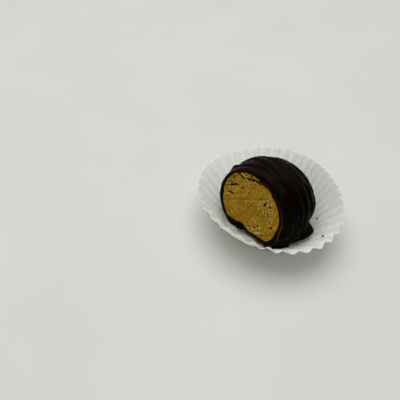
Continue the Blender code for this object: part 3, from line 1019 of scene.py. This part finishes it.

    # A cream tint, most at the foot on the side facing the cut and none at the rim, and a dark
    # patch before the cut's foot, partly oil-soaked paper and partly painted shadow.
    facing = do("COSINE", do("SUBTRACT", turn, CUT_FACING))
    oil = do("MULTIPLY", spread(tree, wall_part, 0.15, 0.75, 1.0, 0.0),
             spread(tree, facing, 0.2, 0.9, 0.15, 0.75))
    ahead, aside = past_cut(CUT_AXIS), past_cut(CUT_SIDE)
    soak_and_shadow = do("MULTIPLY", spread(tree, ahead, *SOAK_SHADOW_FRONT, 1.0, 0.0),
                spread(tree, ahead, *SOAK_SHADOW_BACK, 0.0, 1.0))
    soak_and_shadow = do("MULTIPLY", soak_and_shadow, spread(tree, aside, *SOAK_SHADOW_LEFT, 1.0, 0.0))
    soak_and_shadow = do("MULTIPLY", soak_and_shadow, spread(tree, aside, *SOAK_SHADOW_RIGHT, 0.0, 1.0))
    store = add_node(tree, "GeometryNodeStoreNamedAttribute", Geometry=grid.outputs["Mesh"],
                     Name="oil", Value=do("ADD", oil, soak_and_shadow))
    move = add_node(tree, "GeometryNodeSetPosition", Geometry=store.outputs[0],
                    Position=spot.outputs[0])
    join = add_node(tree, "GeometryNodeMergeByDistance", Geometry=move.outputs[0],
                    Distance=JOIN_DISTANCE)
    smooth = add_node(tree, "GeometryNodeSetShadeSmooth", Geometry=join.outputs[0])
    whole = add_node(tree, "GeometryNodeRealizeInstances", Geometry=smooth.outputs[0])
    coat = add_node(tree, "GeometryNodeSetMaterial", Geometry=whole.outputs[0],
                    Material=paper)
    tree.links.new(coat.outputs[0], result)
    return tree


def thicken(holder):
    modifier = holder.modifiers.new("paper", "SOLIDIFY")
    modifier.thickness = FINE_PAPER
    modifier.offset = 0.0


def make_case(paper):
    sizes = {"Unevenness": FLUTE_UNEVENNESS}
    return plain_mesh("fluted_case", case_tree(paper), sizes, [thicken])


# ---- flakes and crumbs --------------------------------------------------------------
# Loose crumbs on the case: name, middle across and away (mm), spread (mm), count,
# smallest and largest half size (mm), and the random seed.
CRUMBS = [
    ("crumb_beside_drip", 19.7, -5.1, 0.0, 1, 0.32, 0.34, 7),
    ("crumb_near_rim", 18.1, -19.0, 0.0, 1, 0.36, 0.38, 8),
    ("fine_crumbs_right", 19.5, -12.0, 4.5, 14, 0.05, 0.14, 9),
    ("fine_crumbs_front", 8.0, -21.0, 4.0, 6, 0.05, 0.10, 10),
]


def crumb_tree(case, chocolate):
    """Crumbs dropped straight down on the case, round one middle."""
    sizes = {"Middle X": 0.0, "Middle Y": 0.0, "Spread": 0.0, "Count": 1.0,
             "Smallest": 0.1 * MM, "Largest": 0.2 * MM, "Seed": 0.0}
    tree, given, result = tree_with_inputs("crumbs", sizes)

    def node(kind, **inputs):
        return add_node(tree, kind, **inputs)

    def chance(low, high, shift):
        seed = maths(tree, "ADD", given["Seed"], shift)
        made = tree.nodes.new("FunctionNodeRandomValue")
        made.data_type = "FLOAT"
        wire(tree, made.inputs[2], low)
        wire(tree, made.inputs[3], high)
        tree.links.new(seed, made.inputs["Seed"])
        return made.outputs[1]

    def vector(x, y, z):
        return node("ShaderNodeCombineXYZ", X=x, Y=y, Z=z).outputs[0]

    across = maths(tree, "MULTIPLY_ADD", chance(-1.0, 1.0, 0.0), given["Spread"],
                   given["Middle X"])
    away = maths(tree, "MULTIPLY_ADD", chance(-1.0, 1.0, 100.0), given["Spread"],
                 given["Middle Y"])
    size = chance(given["Smallest"], given["Largest"], 200.0)
    points = node("GeometryNodePoints", Count=given["Count"])
    paper = node("GeometryNodeObjectInfo", Object=case)
    drop = node("GeometryNodeRaycast", Target_Geometry=paper.outputs["Geometry"],
                Source_Position=vector(across, away, 60.0 * MM),
                Ray_Direction=(0.0, 0.0, -1.0), Ray_Length=0.1)
    rest = vector_maths(tree, "MULTIPLY_ADD", drop.outputs["Hit Normal"],
                        vector(size, size, size), drop.outputs["Hit Position"])
    placed = node("GeometryNodeSetPosition", Geometry=points.outputs[0],
                  Selection=drop.outputs["Is Hit"], Position=rest[0])
    ball = node("GeometryNodeMeshIcoSphere", Radius=1.0, Subdivisions=3)
    lumps = node("ShaderNodeTexNoise", Scale=1.3)
    bulge = vector_maths(tree, "SUBTRACT", lumps.outputs["Color"], (0.5, 0.5, 0.5))
    shape = node("GeometryNodeSetPosition", Geometry=ball.outputs["Mesh"], Offset=bulge[0])
    spin = vector(*[chance(0.0, 2.0 * math.pi, shift) for shift in (300.0, 400.0, 500.0)])
    crumbs = node("GeometryNodeInstanceOnPoints", Points=placed.outputs[0],
                  Instance=shape.outputs[0], Scale=vector(size, size, size))
    turned = node("GeometryNodeRotateInstances", Instances=crumbs.outputs[0], Rotation=spin)
    whole = node("GeometryNodeRealizeInstances", Geometry=turned.outputs[0])
    coat = node("GeometryNodeSetMaterial", Geometry=whole.outputs[0], Material=chocolate)
    tree.links.new(coat.outputs[0], result)
    return tree


def make_crumbs(case, chocolate):
    tree = crumb_tree(case, chocolate)
    for name, across, away, spread_out, count, smallest, largest, seed in CRUMBS:
        values = {"Middle X": across * MM, "Middle Y": away * MM, "Spread": spread_out * MM,
                  "Count": float(count), "Smallest": smallest * MM, "Largest": largest * MM,
                  "Seed": float(seed)}
        fit(plain_mesh(name, tree, values))


# Chocolate smeared on the case in front of the foot: middle and half width round the
# case, middle and half width up the wall, and height off the paper.
SMEAR_ROUND = (math.radians(-76.0), math.radians(13.0))
SMEAR_UP = (0.7 * MM, 2.3 * MM)
SMEAR_HEIGHT = 0.4 * MM
SMEAR_RAGGED = 0.25
SMEAR_SIDES = 72
SMEAR_RINGS = 10


def off_the_wall(turn, along, lift):
    """Places over the case's wall, with its flutes left out."""
    slope = flare(turn)
    bend = slope * np.clip(along / CREASE_LENGTH, 0.0, 1.0)
    rest = np.maximum(along - CREASE_LENGTH, 0.0)
    radius = wall_radius(turn, along) + np.minimum(along, 0.0) - lift * np.sin(bend)
    height = CASE_PAPER / 2.0 + CREASE_LENGTH / slope * (1.0 - np.cos(bend))
    height += rest * np.sin(slope) + lift * np.cos(bend)
    return np.stack((radius * np.cos(turn), radius * np.sin(turn), height), -1)


def make_smear():
    """A thin lens of chocolate over the flutes, ragged round its edge."""
    angle = turns_round(SMEAR_SIDES)
    circle = np.stack((np.cos(angle), np.sin(angle), np.zeros(SMEAR_SIDES)), -1)
    ragged = 1.0 + SMEAR_RAGGED * uneven(circle, 0.5, 3, 51.0)
    out = np.arange(1, SMEAR_RINGS + 1)[:, None] / SMEAR_RINGS
    turn = SMEAR_ROUND[0] + SMEAR_ROUND[1] * out * ragged * np.cos(angle)
    along = SMEAR_UP[0] + SMEAR_UP[1] * out * ragged * np.sin(angle)
    depth = flute_depth(turn, np.maximum(along, 0.0))
    lift = (depth / 2.0 + SMEAR_HEIGHT) * np.sqrt(1.0 - out ** 2) + FINE_PAPER / 2.0
    top = off_the_wall(turn, along, lift)
    low = off_the_wall(turn, along, np.full_like(lift, FINE_PAPER / 4.0))[-2::-1]
    rings = np.concatenate((top, low))
    return skin("smear_before_foot", top[0].mean(0), rings, low[-1].mean(0))


def make_flakes():
    """Thin torn flakes of chocolate lying on the top of the cut face."""
    turn = turns_round(FLAKE_SIDES)
    step = np.arange(FLAKE_SIDES)
    points, faces = [], []
    for number, (across, up, length, width, angle) in enumerate(FLAKES):
        start = len(points)
        cosine, sine = math.cos(math.radians(angle)), math.sin(math.radians(angle))
        level = np.full(FLAKE_SIDES, 5.0 * number)
        places = np.stack((3.0 * np.cos(turn), 3.0 * np.sin(turn), level), -1)
        ragged = 1.0 + FLAKE_RAGGED * sample(noise.noise, places)
        for height, swell in FLAKE_RINGS:
            x = (length / 2.0 * np.cos(turn) * swell * ragged)[:, None]
            y = (width / 2.0 * np.sin(turn) * swell * ragged)[:, None]
            spots = CUT_MIDDLE + ((across + x * cosine - y * sine) * CUT_SIDE
                                  + (up + x * sine + y * cosine) * CUT_UP
                                  + height * CUT_AXIS) * MM
            points += spots.tolist()
        faces += quads(start, FLAKE_SIDES) + quads(start + FLAKE_SIDES, FLAKE_SIDES)
        faces.append((start + step).tolist())
        faces.append((start + 2 * FLAKE_SIDES + step[::-1]).tolist())
    return solid("chocolate_flakes", points, faces, tint=np.full(len(points), FLAKE_TINT))


# ---- put together -------------------------------------------------------------------
TABLE_HALF = 1.5
# Lights over the table, turned to its middle: name, place (m), width (m), power (W).
LIGHTS = [
    ("window", (-0.05, 0.21, 0.78), 1.0, 5.5),
    ("room", (-0.25, -0.55, 0.45), 0.5, 0.4),
]
LIGHT_COLOUR = (1.0, 0.99, 0.965)
SKY_COLOUR = (0.98, 1.0, 0.965, 1.0)
SKY_STRENGTH = 0.30
CAMERA_PLACE = (-27.5 * MM, -124.5 * MM, 134.7 * MM)
CAMERA_LENS = 39.6
CAMERA_TILT = math.radians(45.0)


def fit(piece, material=None, node=None):
    """Finishes a piece: its material, its body and the solid it stands for."""
    if material is not None:
        piece.data.materials.clear()
        piece.data.materials.append(material)
    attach(piece, "root")
    if node is not None:
        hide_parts(node)


def make_table(material):
    half = TABLE_HALF
    mesh = bpy.data.meshes.new("table")
    mesh.from_pydata([(-half, -half, 0), (half, -half, 0), (half, half, 0), (-half, half, 0)],
                     [], [(0, 1, 2, 3)])
    mesh.materials.append(material)
    put("table", mesh)


def light_scene():
    for name, place, width, power in LIGHTS:
        data = bpy.data.lights.new(name, "AREA")
        data.shape = "DISK"
        data.size = width
        data.energy = power
        data.color = LIGHT_COLOUR
        lamp = put(name, data)
        lamp.location = place
        lamp.rotation_euler = (-Vector(place)).to_track_quat("-Z", "Y").to_euler()
    world = bpy.data.worlds.new("room_light")
    world.use_nodes = True
    sky = world.node_tree.nodes["Background"]
    sky.inputs["Color"].default_value = SKY_COLOUR
    sky.inputs["Strength"].default_value = SKY_STRENGTH
    bpy.context.scene.world = world
    bpy.context.scene.view_settings.view_transform = "Standard"


def place_camera():
    data = bpy.data.cameras.new("camera")
    data.lens = CAMERA_LENS
    data.clip_start = 5.0 * MM
    camera = put("camera", data)
    camera.location = CAMERA_PLACE
    camera.rotation_euler = (CAMERA_TILT, 0.0, 0.0)
    bpy.context.scene.camera = camera


place_camera()
light_scene()
make_table(table_top())
chocolate = dark_chocolate()
fit(make_filling(), peanut_butter(), "filling")
fit(make_coat(), chocolate, "chocolate_coat")
paper_case = make_case(white_paper())
fit(paper_case, node="paper_case")
fit(make_flakes(), chocolate)
fit(make_smear(), chocolate)
make_crumbs(paper_case, chocolate)
